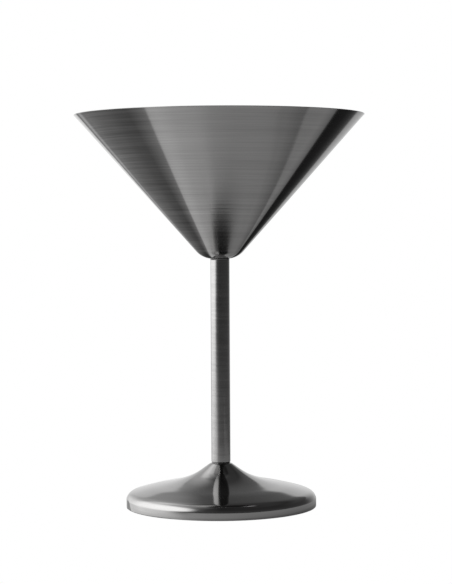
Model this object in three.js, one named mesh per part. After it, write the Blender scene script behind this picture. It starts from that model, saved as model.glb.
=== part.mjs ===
// Martini goblet, all metal: a spun conical bowl on a tube stem, standing on a
// pressed bell-shaped foot.  Millimetres, +Z up.  Origin: on the axis, in the plane
// the foot stands on.  Everything is turned about +Z.
import * as THREE from 'three';

// ---- driving dimensions (mm) -------------------------------------------------
const SEGMENTS = 64;              // facets around the axis

const HEIGHT = 159.3;             // table to lip
const RIM_R = 59.0;               // outside radius at the lip
const CONE_TAN = 0.8907;          // outside wall: radius gained per mm of height
const BOWL_T = 0.8;               // bowl sheet
const BOWL_BOTTOM_Z = 101.0;      // lowest point of the bowl, outside
const BOWL_ROUND_R = 9.0;         // outside radius of the rounded bottom
const LIP_FLARE = 0.09;           // the last few mm of wall lean out by this much
const LIP_FLARE_H = 3.2;          // height over which they do

const STEM_R = 3.9;               // tube outside radius
const STEM_BORE_R = 2.9;          // tube inside radius
const STEM_LO_Z = 17.95;          // tube lower end
const STEM_HI_Z = 100.6;          // tube upper end
const STEM_EDGE = 0.25;           // broken edge on the tube ends

const FOOT_R = 38.78;             // foot outside radius
const FOOT_T = 1.0;               // foot sheet
const FOOT_BAND_H = 2.89;         // height of the upright edge below the shoulder
const FOOT_ROUND_R = 3.34;        // shoulder radius
const FOOT_NECK_Z = 17.62;        // top of the neck
const FOOT_HOLE_R = 2.96;         // hole in the neck for the stud

const PLATE_R = 37.70;            // base plate
const PLATE_T = 0.8;
const PLATE_RECESS = 0.5;         // centre of the plate is pressed up by this much
const PLATE_FLAT_R = 28.4;        // the flat resting ring starts here

const STUD_R = 2.86;              // both studs, inside the tube
const STUD_IN_TUBE = 12.0;        // length of each stud inside the tube
const HEAD_R = 3.9;               // head of the foot stud
const RING_GAP = 0.02;            // hairline between pieces that meet

// ---- helpers ------------------------------------------------------------------
const V = (r, z) => new THREE.Vector2(r, z);

function arc(cr, cz, rad, a0, a1, n) {
  const pts = [];
  for (let i = 0; i <= n; i++) {
    const a = a0 + (a1 - a0) * i / n;
    pts.push(V(cr + rad * Math.cos(a), cz + rad * Math.sin(a)));
  }
  return pts;
}

// twice the signed area of a closed profile
function area2(pts) {
  let s = 0;
  for (let i = 0; i < pts.length; i++) {
    const p = pts[i], q = pts[(i + 1) % pts.length];
    s += p.x * q.y - q.x * p.y;
  }
  return s;
}

// offset an open profile to its left by t, by the mean normal at each point
function offset(pts, t) {
  return pts.map((p, i) => {
    const a = pts[Math.max(0, i - 1)], b = pts[Math.min(pts.length - 1, i + 1)];
    const d = b.clone().sub(a).normalize();
    return V(p.x - d.y * t, p.y + d.x * t);
  });
}

// a turned piece: the profile either closes on itself or starts and ends on the axis
function turned(name, profile, material, closed) {
  let pts = profile.slice();
  // outward faces want the section walked counter-clockwise in the (radius, height) plane
  if (area2(pts) < 0) pts.reverse();
  if (closed) pts = pts.concat([pts[0].clone()]);
  const geo = new THREE.LatheGeometry(pts, SEGMENTS);
  geo.rotateX(Math.PI / 2);
  const mesh = new THREE.Mesh(geo, material);
  mesh.name = name;
  return mesh;
}

const metal = (hex, roughness) =>
  new THREE.MeshStandardMaterial({ color: hex, roughness, metalness: 1.0 });

// ---- bowl -----------------------------------------------------------------------
const halfAngle = Math.atan(CONE_TAN);
const wallShift = BOWL_T / Math.cos(halfAngle);
const outerR = (z) => {
  const u = Math.max(0, (z - (HEIGHT - LIP_FLARE_H)) / LIP_FLARE_H);
  return RIM_R - LIP_FLARE - (HEIGHT - z) * CONE_TAN + LIP_FLARE * u * u;
};

function bowlProfile() {
  // outside: rounded bottom, tangent to the flat underneath and to the cone
  const zc = BOWL_BOTTOM_Z + BOWL_ROUND_R;
  const rc = (RIM_R - LIP_FLARE - HEIGHT * CONE_TAN) + CONE_TAN * zc
    - BOWL_ROUND_R / Math.cos(halfAngle);
  const outside = [V(0, BOWL_BOTTOM_Z)];
  outside.push(...arc(rc, zc, BOWL_ROUND_R, -Math.PI / 2, -halfAngle, 6));
  // one ring part-way up keeps the wall's facets from growing too long
  for (const z of [134, HEIGHT - LIP_FLARE_H, HEIGHT - LIP_FLARE_H / 2]) {
    outside.push(V(outerR(z), z));
  }
  // inside: the same lines, one sheet thickness in
  const inside = [V(0, BOWL_BOTTOM_Z + BOWL_T)];
  inside.push(...arc(rc, zc, BOWL_ROUND_R - BOWL_T, -Math.PI / 2, -halfAngle, 6));
  for (const z of [134, HEIGHT - LIP_FLARE_H, HEIGHT - LIP_FLARE_H / 2]) {
    inside.push(V(outerR(z) - wallShift, z));
  }
  // lip: the sheet's edge is rolled smooth, a full round across the wall
  const e = BOWL_T / 2;
  const lipR = RIM_R - e, lipZ = HEIGHT - e;
  const lip = arc(lipR, lipZ, e, -halfAngle, Math.PI - halfAngle, 6);
  return outside.concat(lip, inside.reverse());
}

// ---- foot -----------------------------------------------------------------------
function footOutside() {
  const cr = FOOT_R - FOOT_ROUND_R;
  const shoulder = arc(cr, FOOT_BAND_H, FOOT_ROUND_R, 0, 1.292, 6);
  const last = shoulder[shoulder.length - 1];
  // shelf, then the concave flank, then the straight cone up to the neck
  const flank = new THREE.SplineCurve([
    last.clone(), V(33.28, 6.95), V(28.24, 8.25), V(23.2, 9.26), V(18.66, 10.28),
    V(15.13, 11.33), V(12.1, 12.52), V(9.58, 13.86), V(7.56, 15.25), V(6.25, 16.17),
    V(5.3, 16.88), V(4.7, 17.30), V(4.15, 17.57), V(3.9, FOOT_NECK_Z),
  ]).getPoints(13);
  return shoulder.concat(flank.slice(1));
}

function footProfile() {
  const outside = footOutside();
  // the inside is the same line one sheet thickness in, with every second point kept
  const n = outside.length - 1;
  const inside = offset(outside, FOOT_T).filter((p, i) => i === 0 || i === n || i % 2 === 0);
  // the two ends of the inside line are squared off to the hole and to the edge
  inside[0] = V(FOOT_R - FOOT_T, FOOT_BAND_H);
  inside[inside.length - 1] = V(3.55, FOOT_NECK_Z - FOOT_T);
  return [V(FOOT_R - 0.3, 0), V(FOOT_R, 0.3)].concat(
    outside,
    [V(FOOT_HOLE_R, FOOT_NECK_Z), V(FOOT_HOLE_R, FOOT_NECK_Z - FOOT_T)],
    inside.reverse(),
    [V(FOOT_R - FOOT_T, 0)],
  );
}

// ---- the pieces -------------------------------------------------------------------
const group = new THREE.Group();
group.name = 'martini_goblet';

const bowl = turned('bowl', bowlProfile(), metal(0x4f4d4d, 0.28), false);

const stem_tube = turned('stem_tube', [
  V(STEM_R - STEM_EDGE, STEM_LO_Z), V(STEM_R, STEM_LO_Z + STEM_EDGE),
  V(STEM_R, STEM_HI_Z - STEM_EDGE), V(STEM_R - STEM_EDGE, STEM_HI_Z),
  V(STEM_BORE_R, STEM_HI_Z), V(STEM_BORE_R, STEM_LO_Z),
], metal(0x565453, 0.30), true);

const foot_shell = turned('foot_shell', footProfile(), metal(0x4c4a4a, 0.22), true);

const foot_base_plate = turned('foot_base_plate', [
  V(0, PLATE_RECESS), V(PLATE_FLAT_R - 1.2, PLATE_RECESS), V(PLATE_FLAT_R, 0),
  V(PLATE_R - 0.2, 0), V(PLATE_R, 0.2), V(PLATE_R, PLATE_T),
  V(PLATE_FLAT_R + 0.2, PLATE_T), V(PLATE_FLAT_R - 1.0, PLATE_T + PLATE_RECESS),
  V(0, PLATE_T + PLATE_RECESS),
], metal(0x504e4e, 0.35), false);

const bowl_stud = turned('bowl_stud', [
  V(0, STEM_HI_Z - STUD_IN_TUBE), V(STUD_R - 0.4, STEM_HI_Z - STUD_IN_TUBE),
  V(STUD_R, STEM_HI_Z - STUD_IN_TUBE + 0.4), V(STUD_R, BOWL_BOTTOM_Z - RING_GAP),
  V(0, BOWL_BOTTOM_Z - RING_GAP),
], metal(0x8c8a88, 0.35), false);

const foot_stud = turned('foot_stud', [
  V(0, 14.8), V(HEAD_R - 0.3, 14.8), V(HEAD_R, 15.1), V(HEAD_R, 16.25), V(3.5, 16.58),
  V(STUD_R, 16.58), V(STUD_R, STEM_LO_Z + STUD_IN_TUBE - 0.4),
  V(STUD_R - 0.4, STEM_LO_Z + STUD_IN_TUBE), V(0, STEM_LO_Z + STUD_IN_TUBE),
], metal(0x8c8a88, 0.35), false);

const bowl_joint_ring = turned('bowl_joint_ring', [
  V(STEM_BORE_R, STEM_HI_Z + RING_GAP), V(STEM_R - 0.05, STEM_HI_Z + RING_GAP),
  V(STEM_R + 0.06, STEM_HI_Z + 0.13), V(STEM_R + 0.06, BOWL_BOTTOM_Z - 0.13),
  V(STEM_R - 0.05, BOWL_BOTTOM_Z - RING_GAP), V(STEM_BORE_R, BOWL_BOTTOM_Z - RING_GAP),
], metal(0x454342, 0.38), true);

const foot_joint_ring = turned('foot_joint_ring', [
  V(STEM_BORE_R, FOOT_NECK_Z + RING_GAP), V(STEM_R - 0.14, FOOT_NECK_Z + RING_GAP),
  V(STEM_R - 0.14, STEM_LO_Z - RING_GAP), V(STEM_BORE_R, STEM_LO_Z - RING_GAP),
], metal(0x454342, 0.38), true);

group.add(bowl, stem_tube, foot_shell, foot_base_plate,
  bowl_stud, foot_stud, bowl_joint_ring, foot_joint_ring);

export default group;
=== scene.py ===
"""Blender 4.5 scene for the all-metal martini goblet: fine turned surfaces around the
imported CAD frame, brushed gunmetal steel, and a small white studio with cards."""
import math

import bmesh
import bpy
from mathutils import Matrix, Vector


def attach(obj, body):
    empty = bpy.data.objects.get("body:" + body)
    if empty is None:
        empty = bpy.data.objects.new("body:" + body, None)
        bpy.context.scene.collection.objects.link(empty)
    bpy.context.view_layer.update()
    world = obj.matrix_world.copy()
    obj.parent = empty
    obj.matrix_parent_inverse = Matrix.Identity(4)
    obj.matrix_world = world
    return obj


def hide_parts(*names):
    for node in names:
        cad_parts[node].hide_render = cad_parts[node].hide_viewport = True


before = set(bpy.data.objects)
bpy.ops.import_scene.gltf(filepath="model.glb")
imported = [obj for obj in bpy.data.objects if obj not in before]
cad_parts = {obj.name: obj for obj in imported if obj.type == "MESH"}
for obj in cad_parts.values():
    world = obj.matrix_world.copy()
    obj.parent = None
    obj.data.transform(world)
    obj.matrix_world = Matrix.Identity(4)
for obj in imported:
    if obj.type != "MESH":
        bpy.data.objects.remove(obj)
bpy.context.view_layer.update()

scene = bpy.context.scene

# ------------------------------------------------------------------ dimensions (mm)
HEIGHT, RIM_R, CONE_TAN = 159.3, 59.0, 0.8907
BOWL_T, BOWL_BOTTOM_Z, BOWL_ROUND_R = 0.8, 101.0, 9.0
LIP_FLARE, LIP_FLARE_H = 0.09, 3.2
STEM_R, STEM_BORE_R, STEM_LO_Z, STEM_HI_Z = 3.9, 2.9, 17.95, 100.6
FOOT_R, FOOT_T, FOOT_BAND_H, FOOT_ROUND_R = 38.78, 1.0, 2.89, 3.34
FOOT_NECK_Z, FOOT_HOLE_R = 17.62, 2.96
PLATE_R, PLATE_T, PLATE_RECESS, PLATE_FLAT_R = 37.70, 0.8, 0.5, 28.4
STUD_R, STUD_IN_TUBE, HEAD_R = 2.86, 12.0, 3.9
GAP = 0.02
MM = 0.001


# ------------------------------------------------------------------ turned meshes
def arc(cr, cz, rad, a0, a1, n):
    return [
        (cr + rad * math.cos(a0 + (a1 - a0) * i / n), cz + rad * math.sin(a0 + (a1 - a0) * i / n))
        for i in range(n + 1)
    ]


def rounded(pts, rad, n=4):
    """The closed or open polyline with each inner corner rounded to rad (or less where it is tight)."""
    out = [pts[0]]
    for i in range(1, len(pts) - 1):
        p = Vector(pts[i]); a = Vector(pts[i - 1]) - p; b = Vector(pts[i + 1]) - p
        turn = math.pi - a.angle(b) if a.length > 1e-9 and b.length > 1e-9 else 0
        if turn < math.radians(12):
            out.append(tuple(p)); continue
        cut = min(rad * math.tan(turn / 2), a.length * 0.45, b.length * 0.45)
        p0 = p + a.normalized() * cut; p1 = p + b.normalized() * cut
        for k in range(n + 1):
            t = k / n
            q = p0 * (1 - t) ** 2 + p * 2 * t * (1 - t) + p1 * t * t
            out.append(tuple(q))
    out.append(pts[-1])
    return out


def densify(pts, step):
    """Adds points along straight stretches so that no edge is longer than step."""
    out = [pts[0]]
    for a, b in zip(pts, pts[1:]):
        d = math.dist(a, b)
        n = max(1, math.ceil(d / step))
        for k in range(1, n + 1):
            out.append((a[0] + (b[0] - a[0]) * k / n, a[1] + (b[1] - a[1]) * k / n))
    return out


def turned(name, profile, segments, closed):
    """A closed mesh of revolution. The profile is (radius, height) in millimetres."""
    pts = list(profile)
    s = sum(p[0] * q[1] - q[0] * p[1] for p, q in zip(pts, pts[1:] + pts[:1]))
    if s < 0:
        pts.reverse()
    bm = bmesh.new()
    rings = []
    for r, z in pts:
        if r < 1e-6:
            rings.append([bm.verts.new((0, 0, z * MM))])
        else:
            rings.append([
                bm.verts.new((r * MM * math.sin(2 * math.pi * k / segments),
                              -r * MM * math.cos(2 * math.pi * k / segments), z * MM))
                for k in range(segments)
            ])
    pairs = list(zip(rings, rings[1:])) + ([(rings[-1], rings[0])] if closed else [])
    for a, b in pairs:
        for k in range(segments):
            k2 = (k + 1) % segments
            if len(a) == 1 and len(b) == 1:
                continue
            if len(a) == 1:
                f = [a[0], b[k2], b[k]]
            elif len(b) == 1:
                f = [a[k], a[k2], b[0]]
            else:
                f = [a[k], a[k2], b[k2], b[k]]
            bm.faces.new(f).smooth = True
    me = bpy.data.meshes.new(name)
    bm.normal_update()
    bm.to_mesh(me)
    bm.free()
    ob = bpy.data.objects.new(name, me)
    scene.collection.objects.link(ob)
    return ob


def sharp_by_angle(ob, degrees):
    me = ob.data
    bm = bmesh.new(); bm.from_mesh(me)
    lim = math.radians(degrees)
    for e in bm.edges:
        if len(e.link_faces) == 2 and e.calc_face_angle() > lim:
            e.smooth = False
    bm.to_mesh(me); bm.free()


# ---- bowl
half = math.atan(CONE_TAN)
wall = BOWL_T / math.cos(half)


def outer_r(z):
    u = max(0.0, (z - (HEIGHT - LIP_FLARE_H)) / LIP_FLARE_H)
    return RIM_R - LIP_FLARE - (HEIGHT - z) * CONE_TAN + LIP_FLARE * u * u


zc = BOWL_BOTTOM_Z + BOWL_ROUND_R
rc = (RIM_R - LIP_FLARE - HEIGHT * CONE_TAN) + CONE_TAN * zc - BOWL_ROUND_R / math.cos(half)
out_arc = arc(rc, zc, BOWL_ROUND_R, -math.pi / 2, -half, 20)
in_arc = arc(rc, zc, BOWL_ROUND_R - BOWL_T, -math.pi / 2, -half, 20)
z_mid = HEIGHT - LIP_FLARE_H
z_lo = out_arc[-1][1]
outside = [(0.0, BOWL_BOTTOM_Z), (1.2, BOWL_BOTTOM_Z)] + out_arc
outside += [(outer_r(z), z) for z in [z_lo + (z_mid - z_lo) * k / 32 for k in range(1, 33)]]
outside += [(outer_r(z), z) for z in [z_mid + (LIP_FLARE_H - 0.26) * k / 8 for k in range(1, 9)]]
zi_lo = in_arc[-1][1]
inside = [(0.0, BOWL_BOTTOM_Z + BOWL_T), (1.2, BOWL_BOTTOM_Z + BOWL_T)] + in_arc
inside += [(outer_r(z) - wall, z) for z in [zi_lo + (z_mid - zi_lo) * k / 32 for k in range(1, 33)]]
inside += [(outer_r(z) - wall, z) for z in [z_mid + (LIP_FLARE_H - 0.14) * k / 8 for k in range(1, 9)]]
# the lip: two small rounds that run on from the wall's two faces
R_OUT, R_IN = 0.12, 0.20
lip = arc(outer_r(HEIGHT - R_OUT) - R_OUT / math.cos(half), HEIGHT - R_OUT, R_OUT, -half, math.pi / 2, 7)
lip += arc(outer_r(HEIGHT - R_IN) - wall + R_IN / math.cos(half), HEIGHT - R_IN, R_IN, math.pi / 2, math.pi - half, 7)
bowl = turned("bowl_cup", outside + lip + inside[::-1], 384, False)

# ---- stem
stem = turned("stem", rounded([
    (STEM_BORE_R, STEM_LO_Z), (STEM_R - 0.28, STEM_LO_Z), (STEM_R, STEM_LO_Z + 0.30),
    (STEM_R, 60.0),
    (STEM_R, STEM_HI_Z - 0.12), (STEM_R - 0.12, STEM_HI_Z), (STEM_BORE_R, STEM_HI_Z),
    (STEM_BORE_R, STEM_LO_Z)], 0.12, 4)[:-1], 128, True)


# ---- foot: shelf, concave flank and neck, one smooth line
def spline(pts, per):
    """Uniform Catmull-Rom through the points, as in the CAD."""
    out = []
    n = len(pts)
    for i in range(n - 1):
        p0 = pts[max(i - 1, 0)]; p1 = pts[i]; p2 = pts[i + 1]; p3 = pts[min(i + 2, n - 1)]
        for k in range(per):
            t = k / per
            q = []
            for c in (0, 1):
                v0 = (p2[c] - p0[c]) * 0.5; v1 = (p3[c] - p1[c]) * 0.5
                q.append((2 * p1[c] - 2 * p2[c] + v0 + v1) * t ** 3
                         + (-3 * p1[c] + 3 * p2[c] - 2 * v0 - v1) * t ** 2 + v0 * t + p1[c])
            out.append(tuple(q))
    out.append(pts[-1])
    return out


def resample(pts, step):
    out, acc = [pts[0]], 0.0
    for a, b in zip(pts, pts[1:]):
        d = math.dist(a, b)
        while acc + d >= step:
            t = (step - acc) / d
            a = (a[0] + (b[0] - a[0]) * t, a[1] + (b[1] - a[1]) * t)
            out.append(a); d = math.dist(a, b); acc = 0.0
        acc += d
    out.append(pts[-1])
    return out


def relax(pts, times, keep=1):
    """Evens out the bends of a line and keeps its ends."""
    p = [Vector(q) for q in pts]
    for _ in range(times):
        q = [v.copy() for v in p]
        for i in range(keep, len(p) - keep):
            q[i] = p[i] * 0.5 + (p[i - 1] + p[i + 1]) * 0.25
        p = q
    return [tuple(v) for v in p]


def offset(pts, t):
    out = []
    for i, p in enumerate(pts):
        a = Vector(pts[max(0, i - 1)]); b = Vector(pts[min(len(pts) - 1, i + 1)])
        d = (b - a).normalized()
        out.append((p[0] - d.y * t, p[1] + d.x * t))
    return out


shoulder = arc(FOOT_R - FOOT_ROUND_R, FOOT_BAND_H, FOOT_ROUND_R, 0, 1.292, 16)
flank = spline([shoulder[-1], (33.28, 6.95), (28.24, 8.25), (23.2, 9.26), (18.66, 10.28),
                (15.13, 11.33), (12.1, 12.52), (9.58, 13.86), (7.56, 15.25), (6.25, 16.17),
                (5.3, 16.88), (4.7, 17.30), (4.15, 17.57), (3.9, FOOT_NECK_Z)], 24)
line = resample(shoulder + flank[1:], 0.35)
line = relax(line, 12, keep=3)
foot_in = offset(line, FOOT_T)[::4]
foot_in[0] = (FOOT_R - FOOT_T, FOOT_BAND_H)
foot_in.append((3.55, FOOT_NECK_Z - FOOT_T))
foot = turned("foot", [(FOOT_R - 0.30, 0.0), (FOOT_R - 0.12, 0.04), (FOOT_R - 0.03, 0.14), (FOOT_R, 0.3),
                       (FOOT_R, 1.6)] + line
              + [(3.4, FOOT_NECK_Z), (FOOT_HOLE_R, FOOT_NECK_Z), (FOOT_HOLE_R, FOOT_NECK_Z - FOOT_T)]
              + foot_in[::-1] + [(FOOT_R - FOOT_T, 0.12), (FOOT_R - FOOT_T + 0.12, 0.0)], 320, True)

# ---- base plate, with the pressed step and two turned rings underneath
plate_under = [(0.0, PLATE_RECESS)]
for r0 in (9.0, 18.0):
    plate_under += [(r0 - 0.6, PLATE_RECESS), (r0 - 0.2, PLATE_RECESS + 0.16), (r0 + 0.2, PLATE_RECESS + 0.16),
                    (r0 + 0.6, PLATE_RECESS)]
plate_under += [(PLATE_FLAT_R - 1.2, PLATE_RECESS), (PLATE_FLAT_R, 0.0), (PLATE_R - 0.2, 0.0),
                (PLATE_R, 0.2), (PLATE_R, PLATE_T), (PLATE_FLAT_R + 0.2, PLATE_T),
                (PLATE_FLAT_R - 1.0, PLATE_T + PLATE_RECESS), (0.0, PLATE_T + PLATE_RECESS)]
plate = turned("base_plate", rounded(plate_under, 0.5, 4), 256, False)

# ---- studs and joint rings
stud_a = turned("bowl_stud_pin", rounded([
    (0, STEM_HI_Z - STUD_IN_TUBE), (STUD_R - 0.4, STEM_HI_Z - STUD_IN_TUBE),
    (STUD_R, STEM_HI_Z - STUD_IN_TUBE + 0.4), (STUD_R, BOWL_BOTTOM_Z - GAP),
    (0, BOWL_BOTTOM_Z - GAP)], 0.1, 3), 96, False)
stud_b = turned("foot_stud_pin", rounded([
    (0, 14.8), (HEAD_R - 0.3, 14.8), (HEAD_R, 15.1), (HEAD_R, 16.25), (3.5, 16.58),
    (STUD_R, 16.58), (STUD_R, STEM_LO_Z + STUD_IN_TUBE - 0.4),
    (STUD_R - 0.4, STEM_LO_Z + STUD_IN_TUBE), (0, STEM_LO_Z + STUD_IN_TUBE)], 0.1, 3), 96, False)
ring_a = turned("bowl_joint", [
    (STEM_BORE_R, STEM_HI_Z + GAP)] + arc(STEM_R - 0.10, (STEM_HI_Z + BOWL_BOTTOM_Z) / 2, 0.175, -1.45, 1.45, 8)
    + [(STEM_BORE_R, BOWL_BOTTOM_Z - GAP)], 128, True)
ring_b = turned("foot_joint", [
    (STEM_BORE_R, FOOT_NECK_Z + GAP)] + arc(STEM_R - 0.28, (FOOT_NECK_Z + STEM_LO_Z) / 2, 0.14, -1.45, 1.45, 8)
    + [(STEM_BORE_R, STEM_LO_Z - GAP)], 128, True)

for ob, node, slot, ang in (
        (bowl, "bowl", "bowl_steel", 50), (stem, "stem_tube", "stem_steel", 35),
        (foot, "foot_shell", "foot_steel", 50), (plate, "foot_base_plate", "base_steel", 35),
        (stud_a, "bowl_stud", "stud_steel", 30), (stud_b, "foot_stud", "stud_steel", 30),
        (ring_a, "bowl_joint_ring", "joint_metal", 40), (ring_b, "foot_joint_ring", "joint_metal", 40)):
    sharp_by_angle(ob, ang)
    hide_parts(node)
    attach(ob, "root")


# ------------------------------------------------------------------ materials
class Nodes:
    def __init__(self, mat):
        mat.use_nodes = True
        self.nt = mat.node_tree
        self.nt.nodes.clear()

    def add(self, kind, **kw):
        n = self.nt.nodes.new(kind)
        for k, v in kw.items():
            setattr(n, k, v)
        return n

    def link(self, a, b):
        self.nt.links.new(a, b)

    def math(self, op, a, b=None, clamp=False):
        n = self.add("ShaderNodeMath", operation=op, use_clamp=clamp)
        for i, v in enumerate((a, b)):
            if v is None:
                continue
            if isinstance(v, (int, float)):
                n.inputs[i].default_value = v
            else:
                self.link(v, n.inputs[i])
        return n.outputs[0]

    def remap(self, v, a, b, c, d):
        n = self.add("ShaderNodeMapRange", clamp=True)
        self.link(v, n.inputs["Value"])
        for k, x in (("From Min", a), ("From Max", b), ("To Min", c), ("To Max", d)):
            n.inputs[k].default_value = x
        return n.outputs["Result"]


def brushed(name, f0, rough, aniso, along, streak, warm=1.0, bump=0.03, around=26.0, mottle=0.04, vary=0.3, coarse=0.0):
    """Brushed around +Z. `along` is how the line up the surface is measured: 'r+z', 'r-z', 'z' or 'r'."""
    mat = bpy.data.materials.new(name)
    N = Nodes(mat)
    out = N.add("ShaderNodeOutputMaterial")
    bsdf = N.add("ShaderNodeBsdfPrincipled")
    N.link(bsdf.outputs["BSDF"], out.inputs["Surface"])
    bsdf.inputs["Metallic"].default_value = 1.0
    bsdf.inputs["Anisotropic"].default_value = aniso
    bsdf.inputs["Anisotropic Rotation"].default_value = 0.25
    tan = N.add("ShaderNodeTangent", direction_type="RADIAL", axis="Z")
    N.link(tan.outputs["Tangent"], bsdf.inputs["Tangent"])

    tc = N.add("ShaderNodeTexCoord")
    sep = N.add("ShaderNodeSeparateXYZ")
    N.link(tc.outputs["Object"], sep.inputs[0])
    x, y, z = sep.outputs
    rad = N.math("SQRT", N.math("ADD", N.math("MULTIPLY", x, x), N.math("MULTIPLY", y, y)))
    up = {"r+z": lambda: N.math("ADD", rad, z), "r-z": lambda: N.math("SUBTRACT", rad, z),
          "z": lambda: z, "r": lambda: rad}[along]()

    def lines(k_around, k_up, seed, detail=2.0):
        """Streaks that run around the piece: slow round the axis, quick up the surface."""
        c = N.add("ShaderNodeCombineXYZ")
        N.link(N.math("MULTIPLY", x, k_around), c.inputs[0])
        N.link(N.math("MULTIPLY", y, k_around), c.inputs[1])
        N.link(N.math("ADD", N.math("MULTIPLY", up, k_up), seed), c.inputs[2])
        n = N.add("ShaderNodeTexNoise", noise_dimensions="3D")
        n.inputs["Scale"].default_value = 1.0
        n.inputs["Detail"].default_value = detail
        n.inputs["Roughness"].default_value = 0.55
        N.link(c.outputs[0], n.inputs["Vector"])
        return n.outputs["Fac"]

    fine = lines(around * 2.2, 2600.0, 3.1)
    mid = lines(around * 1.4, 900.0, 17.7)
    broad = lines(around * 0.8, 210.0, 41.3, 1.0)
    # a few deeper single strokes
    strokes = N.remap(lines(around * 1.9, 1500.0, 77.0, 1.0), 0.66, 0.74, 0.0, 1.0)
    cloud = N.add("ShaderNodeTexNoise", noise_dimensions="3D")
    cloud.inputs["Scale"].default_value = 28.0
    cloud.inputs["Detail"].default_value = 2.0
    N.link(tc.outputs["Object"], cloud.inputs["Vector"])

    w = N.math("ADD", N.math("MULTIPLY", N.math("SUBTRACT", fine, 0.5), 1.1),
               N.math("ADD", N.math("MULTIPLY", N.math("SUBTRACT", mid, 0.5), 1.7),
                      N.math("MULTIPLY", N.math("SUBTRACT", broad, 0.5), 0.8)))
    if coarse:
        # one side of the cup was brushed with a coarser grit
        side = N.remap(N.math("DIVIDE", x, N.math("MAXIMUM", rad, 0.001)), -0.62, -0.44, coarse, 0.0)
        w = N.math("MULTIPLY", w, N.math("ADD", 1.0, side))
    tone = N.math("ADD", N.math("ADD", 1.0, N.math("MULTIPLY", w, streak)),
                  N.math("ADD", N.math("MULTIPLY", N.math("SUBTRACT", cloud.outputs["Fac"], 0.5), mottle),
                         N.math("MULTIPLY", strokes, streak * 0.5)))
    col = N.add("ShaderNodeCombineColor")
    for i, c in enumerate((f0 * (1 + 0.010 * warm), f0, f0 * (1 - 0.006 * warm))):
        N.link(N.math("MULTIPLY", tone, c, clamp=True), col.inputs[i])
    N.link(col.outputs[0], bsdf.inputs["Base Color"])
    N.link(N.math("ADD", N.math("MULTIPLY", w, rough * vary), rough, clamp=True), bsdf.inputs["Roughness"])

    b = N.add("ShaderNodeBump")
    b.inputs["Strength"].default_value = bump
    b.inputs["Distance"].default_value = 0.0002
    N.link(N.math("ADD", N.math("MULTIPLY", fine, 0.8), N.math("MULTIPLY", mid, 3.0)), b.inputs["Height"])
    N.link(b.outputs["Normal"], bsdf.inputs["Normal"])
    return mat


M_BOWL = brushed("bowl_brushed_gunmetal", 0.25, 0.115, 0.94, "r+z", 0.20, bump=0.03, around=13.0, coarse=1.9, vary=0.18)
M_STEM = brushed("stem_brushed_gunmetal", 0.25, 0.145, 0.80, "z", 0.20, around=60.0)
M_FOOT = brushed("foot_spun_gunmetal", 0.24, 0.095, 0.55, "r-z", 0.06, bump=0.012)
M_BASE = brushed("base_spun_gunmetal", 0.26, 0.30, 0.75, "r", 0.16)
M_STUD = brushed("stud_turned_steel", 0.52, 0.30, 0.60, "z", 0.10)
M_JOINT = brushed("joint_dark_metal", 0.20, 0.30, 0.30, "z", 0.12)
for ob, m in ((bowl, M_BOWL), (stem, M_STEM), (foot, M_FOOT), (plate, M_BASE), (stud_a, M_STUD),
              (stud_b, M_STUD), (ring_a, M_JOINT), (ring_b, M_JOINT)):
    ob.data.materials.append(m)


# ------------------------------------------------------------------ studio
def glow(name, level):
    """Plain light-giving surface."""
    mat = bpy.data.materials.new(name)
    N = Nodes(mat)
    out = N.add("ShaderNodeOutputMaterial")
    em = N.add("ShaderNodeEmission")
    em.inputs["Color"].default_value = (1, 1, 1, 1)
    em.inputs["Strength"].default_value = level
    N.link(em.outputs[0], out.inputs["Surface"])
    return mat


def stage_mesh(name, me, mat, camera, glossy):
    ob = bpy.data.objects.new(name, me)
    scene.collection.objects.link(ob)
    me.materials.append(mat)
    ob.visible_camera = camera
    ob.visible_glossy = glossy
    ob.visible_diffuse = False
    ob.visible_shadow = False
    ob.visible_transmission = False
    return ob


# what the camera sees behind and under the goblet: a plain white sweep
M_WHITE = glow("studio_white", 1.0)
me = bpy.data.meshes.new("studio_floor")
me.from_pydata([(-4, -4, -0.0002), (4, -4, -0.0002), (4, 4, -0.0002), (-4, 4, -0.0002)], [], [(0, 1, 2, 3)])
# the floor shows from above only, so that the underside of the foot can be looked at
M_FLOOR = bpy.data.materials.new("studio_floor_white")
N = Nodes(M_FLOOR)
out = N.add("ShaderNodeOutputMaterial")
em = N.add("ShaderNodeEmission")
em.inputs["Color"].default_value = (1, 1, 1, 1)
em.inputs["Strength"].default_value = 1.0
side = N.add("ShaderNodeNewGeometry")
mix = N.add("ShaderNodeMixShader")
N.link(side.outputs["Backfacing"], mix.inputs[0])
N.link(em.outputs[0], mix.inputs[1])
N.link(N.add("ShaderNodeBsdfTransparent").outputs[0], mix.inputs[2])
N.link(mix.outputs[0], out.inputs["Surface"])
stage_mesh("studio_floor", me, M_FLOOR, True, False)
bm = bmesh.new()
bmesh.ops.create_icosphere(bm, subdivisions=3, radius=5.0)
me = bpy.data.meshes.new("studio_backdrop")
bm.to_mesh(me); bm.free()
stage_mesh("studio_backdrop", me, M_WHITE, True, False)


# what the metal sees close by: the lit table top just around the foot, as a soft-edged sheet
def lerp(stops, v):
    if v <= stops[0][0]:
        return stops[0][1]
    for (a, p), (b, q) in zip(stops, stops[1:]):
        if v <= b:
            return p + (q - p) * (v - a) / (b - a)
    return stops[-1][1]


def ease(a, b, v):
    t = min(1.0, max(0.0, (v - a) / (b - a)))
    return t * t * (3 - 2 * t)


SHADE_EDGE = [(158, -120), (158, -60), (156, -12), (154, 0), (142, 26), (130, 50), (118, 65), (107, 78), (91, 96), (73, 118)]


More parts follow.
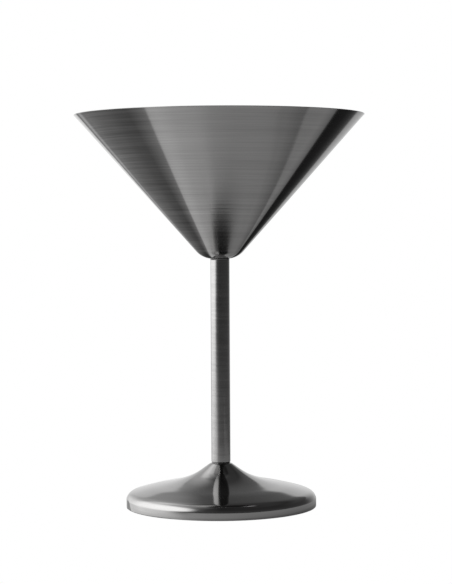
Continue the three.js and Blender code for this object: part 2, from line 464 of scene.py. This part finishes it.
def to_edge(x, y):
    """Distance in mm to the edge of the shaded part of the table, positive on the goblet's side."""
    best, side = 1e9, 1
    for (ax, ay), (bx, by) in zip(SHADE_EDGE, SHADE_EDGE[1:]):
        ux, uy = bx - ax, by - ay
        t = min(1.0, max(0.0, ((x - ax) * ux + (y - ay) * uy) / (ux * ux + uy * uy)))
        d = math.hypot(x - ax - ux * t, y - ay - uy * t)
        if d < best:
            best, side = d, (1 if ux * (y - ay) - uy * (x - ax) > 0 else -1)
    return best * side


def table_light(x, y):
    rad = math.hypot(x, y)
    psi = math.degrees(math.atan2(x, -y))
    lit = lerp([(-90, 1.2), (-60, 1.05), (-30, 0.90), (-20, 0.80), (-10, 0.71), (0, 0.67), (20, 0.62), (50, 0.60), (80, 0.57), (120, 0.50)], psi)
    lit *= 1 + ease(66, 40, rad) * lerp([(-30, 0.15), (0, 0.0), (25, -0.18), (60, -0.32)], psi)
    # the foot's own soft shadow
    lit *= 1 - lerp([(-40, 0.0), (-25, 0.1), (-10, 0.36), (0, 0.4)], psi) * (1 - ease(41, 46, rad))
    cover = (1 - ease(78, 122, rad)) * ease(-40, -22, psi) * (1 - ease(118, 150, psi))
    d = to_edge(x, y)
    if d > 0 and y < 118:
        k = (1 - ease(40, 66, d)) * (1 - ease(86, 118, y)) * ease(30, 62, rad)
        lit = lit * cover * (1 - k) + (0.285 + 0.0050 * d) * k
        cover = max(cover, k)
        lit = lit / max(cover * (1 - k) + k, 1e-3) if cover > 0 else lit
    elif d <= 0:
        cover *= ease(-30, -6, d) if rad > 100 else 1
    return lit, cover * ease(30, 34, rad)


NG, G0, G1 = 96, -155.0, 160.0
gv, gf, glit, gcov = [], [], [], []
for j in range(NG + 1):
    for i in range(NG + 1):
        x = G0 + (G1 - G0) * i / NG
        y = G0 + (G1 - G0) * j / NG
        a, b = table_light(x, y)
        gv.append((x * MM, y * MM, -0.0004)); glit.append(a); gcov.append(b)
for j in range(NG):
    for i in range(NG):
        k = j * (NG + 1) + i
        if max(gcov[k], gcov[k + 1], gcov[k + NG + 2], gcov[k + NG + 1]) > 0.004:
            gf.append((k, k + 1, k + NG + 2, k + NG + 1))
me = bpy.data.meshes.new("table_light")
me.from_pydata(gv, [], gf)
for nm, vals in (("lit", glit), ("cover", gcov)):
    at = me.attributes.new(nm, "FLOAT", "POINT")
    at.data.foreach_set("value", vals)
mat = bpy.data.materials.new("table_light")
N = Nodes(mat)
out = N.add("ShaderNodeOutputMaterial")
em = N.add("ShaderNodeEmission")
tr = N.add("ShaderNodeBsdfTransparent")
mix = N.add("ShaderNodeMixShader")
a_lit = N.add("ShaderNodeAttribute", attribute_name="lit")
a_cov = N.add("ShaderNodeAttribute", attribute_name="cover")
N.link(a_lit.outputs["Fac"], em.inputs["Strength"])
N.link(a_cov.outputs["Fac"], mix.inputs[0])
N.link(tr.outputs[0], mix.inputs[1])
N.link(em.outputs[0], mix.inputs[2])
N.link(mix.outputs[0], out.inputs["Surface"])
stage_mesh("table_light", me, mat, False, True)

# the rest of the room: brightness by direction.  A tall soft light stands at the left, the white
# sweep glows behind, the room is dark in front and at the right, and dark flags lie beside the table.
# Below the horizon the flags' edges run along the lines that a brushed cone keeps sharp.
FLAGS = [(-90, 1.05), (-80, 1.0), (-78.4, 0.95), (-77.7, 0.34), (-76.0, 0.30), (-75.0, 0.52), (-74, 0.68), (-72.3, 0.68),
         (-71.2, 0.44), (-70, 0.36), (-66, 0.325), (-60, 0.30), (-52, 0.265), (-46, 0.21), (-39.5, 0.185), (-36, 0.27),
         (-33.0, 0.39), (-30.75, 0.50), (-30.35, 1.06), (-29, 1.14), (-26, 1.16), (-23, 1.10), (-19, 0.99), (-14, 0.93),
         (-10, 0.87), (-4, 0.74), (2, 0.67), (15, 0.62)]
FLAGS_R = [(15, 0.62), (22, 0.58), (34, 0.55), (44, 0.54), (48, 0.55), (50.5, 0.47), (52.2, 0.40), (53.5, 0.34), (54.2, 0.05),
           (56, 0.028), (62, 0.035), (66, 0.065), (69.0, 0.12), (70.8, 0.2), (71.3, 0.50), (73, 0.62), (78, 0.67), (84, 0.72),
           (87, 0.8), (90, 0.9)]
ROOM = [
    (-15, [(-180, 0.9), (-165, 0.9), (-153, 1.4), (-140, 1.6), (-105, 1.8), (-75, 1.65), (-62, 1.5), (-52, 1.5), (-44, 1.25),
           (-36, 0.75), (-28, 0.5), (-12, 0.3), (10, 0.22), (60, 0.24), (90, 0.18), (120, 0.13), (140, 0.13), (152, 0.3), (165, 0.8), (180, 0.9)]),
    (-10, [(-180, 0.95), (-165, 1.1), (-150, 1.4), (-135, 1.6), (-112, 2.1), (-90, 2.0), (-75, 1.75), (-62, 1.65), (-52, 1.65),
           (-44, 1.35), (-36, 0.85), (-28, 0.5), (-12, 0.28), (60, 0.22), (92, 0.24), (110, 0.18), (138, 0.2), (155, 0.4), (180, 0.95)]),
    (-5, [(-180, 0.85), (-165, 0.9), (-150, 1.4), (-135, 1.7), (-115, 2.6), (-90, 2.4), (-74, 2.2), (-64, 1.5), (-54, 0.65),
          (-46, 0.3), (-36, 0.2), (-8, 0.1), (30, 0.11), (90, 0.16), (115, 0.26), (140, 0.46), (165, 0.84), (180, 0.85)]),
    (0, [(-180, 0.95), (-165, 0.9), (-152, 1.3), (-140, 2.1), (-122, 2.9), (-90, 3.1), (-66, 2.8), (-58, 1.35), (-50, 0.36),
         (-43, 0.18), (-28, 0.12), (0, 0.08), (60, 0.10), (100, 0.12), (130, 0.28), (150, 0.5), (167, 0.85), (180, 0.95)]),
    (8, [(-180, 1.05), (-164, 0.95), (-152, 1.6), (-142, 2.0), (-130, 2.7), (-118, 3.3), (-90, 3.6), (-60, 3.4), (-53, 2.9), (-47, 1.6),
         (-42, 0.8), (-36, 0.35), (-28, 0.16), (0, 0.10), (90, 0.12), (125, 0.13), (138, 0.3), (152, 0.55), (170, 0.92), (180, 1.02)]),
    (22.3, [(-180, 0.90), (-172, 0.97), (-162, 0.95), (-150, 1.4), (-139, 1.9), (-128, 2.9), (-118, 3.45), (-90, 3.7), (-60, 3.5),
            (-52, 3.25), (-46, 2.9), (-42, 2.1), (-38, 1.1), (-32, 0.35), (-28, 0.18), (0, 0.1), (90, 0.09), (135, 0.12), (150, 0.42), (158, 0.68), (170, 0.86), (180, 0.90)]),
    (24.1, [(-180, 0.23), (-176, 0.28), (-173, 0.50), (-170, 0.56), (-165, 0.82), (-160, 0.92), (-150, 1.3), (-139, 1.8), (-128, 2.8),
            (-118, 3.45), (-90, 3.7), (-60, 3.5), (-52, 3.25), (-46, 2.9), (-42, 2.1), (-38, 1.1), (-32, 0.35), (-28, 0.18), (0, 0.1), (90, 0.09), (135, 0.12),
            (150, 0.16), (165, 0.22), (180, 0.23)]),
    (35, [(-180, 0.17), (-176, 0.20), (-173, 0.44), (-170, 0.66), (-165, 0.9), (-152, 1.0), (-144, 1.2), (-138, 1.9), (-126, 3.1),
          (-105, 3.6), (-90, 3.75), (-60, 3.5), (-50, 3.3), (-46, 3.0), (-42, 2.2), (-37, 1.0), (-32, 0.3), (-20, 0.12), (0, 0.08), (90, 0.07), (150, 0.17),
          (165, 0.19), (180, 0.17)]),
    (45, [(-180, 0.12), (-174, 0.25), (-168, 0.75), (-161, 1.1), (-155, 1.75), (-146, 1.95), (-138, 1.9), (-120, 2.5), (-108, 3.2), (-75, 3.7),
          (-60, 3.5), (-52, 3.0), (-46, 2.3), (-41, 1.4), (-36, 0.6), (-31, 0.24), (-22, 0.14), (0, 0.06), (90, 0.07), (150, 0.08), (180, 0.12)]),
    (52, [(-180, 0.11), (-174, 0.14), (-168, 0.28), (-162, 0.6), (-156, 1.5), (-147, 1.9), (-140, 2.3), (-130, 2.0), (-115, 1.9), (-100, 2.8),
          (-80, 3.2), (-60, 2.8), (-54, 2.0), (-49, 1.0), (-40, 0.35), (-20, 0.1), (0, 0.05), (90, 0.09), (150, 0.10), (180, 0.11)]),
    (58, [(-180, 0.10), (-168, 0.22), (-160, 0.55), (-154, 0.9), (-147, 1.25), (-140, 1.9), (-132, 1.6), (-115, 1.3), (-90, 1.6), (-70, 1.3), (-55, 0.8),
          (-46, 0.46), (-35, 0.3), (-20, 0.14), (0, 0.05), (90, 0.1), (150, 0.1), (180, 0.12)]),
    (67, [(-180, 0.22), (-165, 0.35), (-150, 0.8), (-138, 1.4), (-105, 1.0), (-60, 0.6), (-45, 0.38), (-28, 0.25), (-11, 0.08), (0, 0.05),
          (90, 0.07), (150, 0.1), (180, 0.3)]),
    (80, [(-180, 0.3), (-150, 0.4), (-128, 0.5), (-66, 0.5), (-46, 0.35), (-30, 0.12), (0, 0.06), (80, 0.1),
          (102, 2.2), (146, 2.2), (160, 0.6), (180, 0.3)]),
    (88, [(-180, 2.6), (180, 2.6)]),
]
TOP = 4.0
world = bpy.data.worlds.new("room")
scene.world = world
N = Nodes(world)
out = N.add("ShaderNodeOutputWorld")
bg = N.add("ShaderNodeBackground")
bg.inputs["Color"].default_value = (1, 1, 1, 1)
N.link(bg.outputs[0], out.inputs["Surface"])
tc = N.add("ShaderNodeTexCoord")
sep = N.add("ShaderNodeSeparateXYZ")
N.link(tc.outputs["Generated"], sep.inputs[0])
X, Y, Z = sep.outputs
DEG = 180 / math.pi
phi = N.math("MULTIPLY", N.math("ARCTAN2", X, N.math("SUBTRACT", 1.0, Y)), DEG)
az = N.math("MULTIPLY", N.math("ARCTAN2", X, N.math("MULTIPLY", Y, -1.0)), DEG)
el = N.math("MULTIPLY", N.math("ARCSINE", Z, clamp=False), DEG)


def curve(v, stops):
    """Piecewise straight line through (position, level)."""
    lo, hi = stops[0][0], stops[-1][0]
    r = N.add("ShaderNodeValToRGB")
    cr = r.color_ramp
    while len(cr.elements) < len(stops):
        cr.elements.new(0.5)
    for e, (p, l) in zip(cr.elements, stops):
        e.position = (p - lo) / (hi - lo)
    for e, (p, l) in zip(cr.elements, stops):
        e.color = (l / TOP, l / TOP, l / TOP, 1)
    N.link(N.remap(v, lo, hi, 0.0, 1.0), r.inputs[0])
    return N.math("MULTIPLY", r.outputs[0], TOP)


def blend(a, b, t):
    """a at t = 0, b at t = 1."""
    return N.math("ADD", N.math("MULTIPLY", a, N.math("SUBTRACT", 1.0, t)), N.math("MULTIPLY", b, t))


low = blend(curve(phi, FLAGS), curve(phi, FLAGS_R), N.math("GREATER_THAN", phi, 15.0))
# the dark flag at the left is lit a little more towards its far end, which shows up the brushing
rad_phi = N.math("MULTIPLY", phi, math.pi / 180)
tilt = N.math("ADD", N.math("SUBTRACT", N.math("MULTIPLY", X, N.math("SINE", rad_phi)),
                            N.math("MULTIPLY", Y, N.math("COSINE", rad_phi))), N.math("MULTIPLY", Z, 0.115))
gain = N.math("MAXIMUM", N.math("ADD", 1.0, N.math("MULTIPLY", tilt, 2.0)), 0.35)
left = N.math("MULTIPLY", N.remap(phi, -70.0, -67.0, 0.0, 1.0), N.remap(phi, -36.0, -31.0, 1.0, 0.0))
low = blend(low, N.math("MULTIPLY", low, gain), left)
high = curve(az, ROOM[0][1])
for (e0, _), (e1, row) in zip(ROOM, ROOM[1:]):
    high = blend(high, curve(az, row), N.remap(el, e0, e1, 0.0, 1.0))
# the flags end just under the horizon at the sides and at it behind
turn = N.remap(N.math("ABSOLUTE", az), 138.0, 150.0, -17.5, -1.5)
below = N.remap(N.math("SUBTRACT", el, turn), -1.5, 1.5, 1.0, 0.0)
N.link(blend(high, low, below), bg.inputs["Strength"])

# ------------------------------------------------------------------ camera
S = 59.0 / 58.5
D, HC, F = 0.72293 * S, 0.11413 * S, 1791.9
PITCH, YAW, ROLL = math.radians(2.176), math.radians(0.1895), math.radians(0.302)
cam_data = bpy.data.cameras.new("camera")
cam = bpy.data.objects.new("camera", cam_data)
scene.collection.objects.link(cam)
cam_data.sensor_fit = "AUTO"
cam_data.sensor_width = 36.0
cam_data.lens = F / 584.0 * 36.0
cam_data.dof.use_dof = False
cam_data.clip_start, cam_data.clip_end = 0.01, 12.0
fwd = Vector((math.sin(YAW) * math.cos(PITCH), math.cos(YAW) * math.cos(PITCH), -math.sin(PITCH)))
right = Vector((math.cos(YAW), -math.sin(YAW), 0.0))
up = right.cross(fwd)
cr, sr = math.cos(ROLL), math.sin(ROLL)
rr = right * cr - up * sr     # the picture leans to the left, so the camera leans to the right
uu = right * sr + up * cr
m = Matrix((rr, uu, -fwd)).transposed().to_4x4()
m.translation = Vector((0.0, -D, HC))
cam.matrix_world = m
scene.camera = cam

scene.view_settings.view_transform = "Standard"
scene.view_settings.look = "None"
scene.view_settings.exposure = 0.0
scene.view_settings.gamma = 1.0
